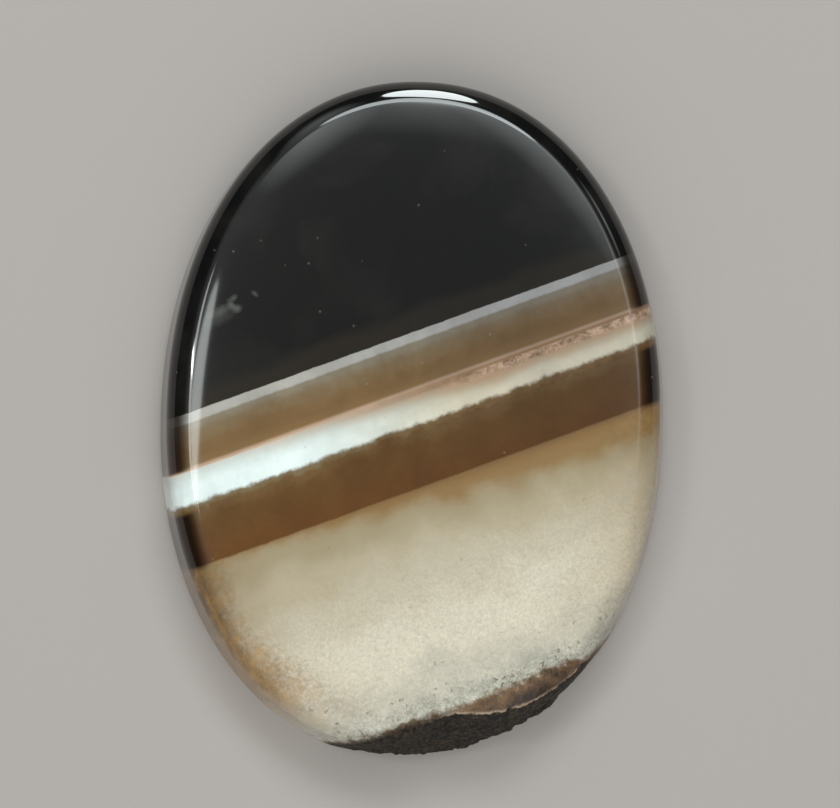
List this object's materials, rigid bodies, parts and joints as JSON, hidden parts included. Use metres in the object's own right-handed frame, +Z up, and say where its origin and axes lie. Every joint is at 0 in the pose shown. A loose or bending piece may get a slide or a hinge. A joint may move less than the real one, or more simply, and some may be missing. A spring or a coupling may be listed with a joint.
{
  "type": "sulemani agate cabochon",
  "caption": "Flat oval cabochon of polished banded agate, black, brown, white and cream, with a bevelled rim, a low dome and a patch of rough natural rind at one end.",
  "frame": {"origin": "on the flat back, under the middle of the oval", "axes": "+Y along the oval, towards the black end; +Z up out of the polished face; +X across the oval"},
  "size_m": [0.0296, 0.0398, 0.0056],
  "materials": {
    "agate": "polished"
  },
  "bodies": {
    "root": {"agate_cabochon": "agate"}
  },
  "joints": []
}
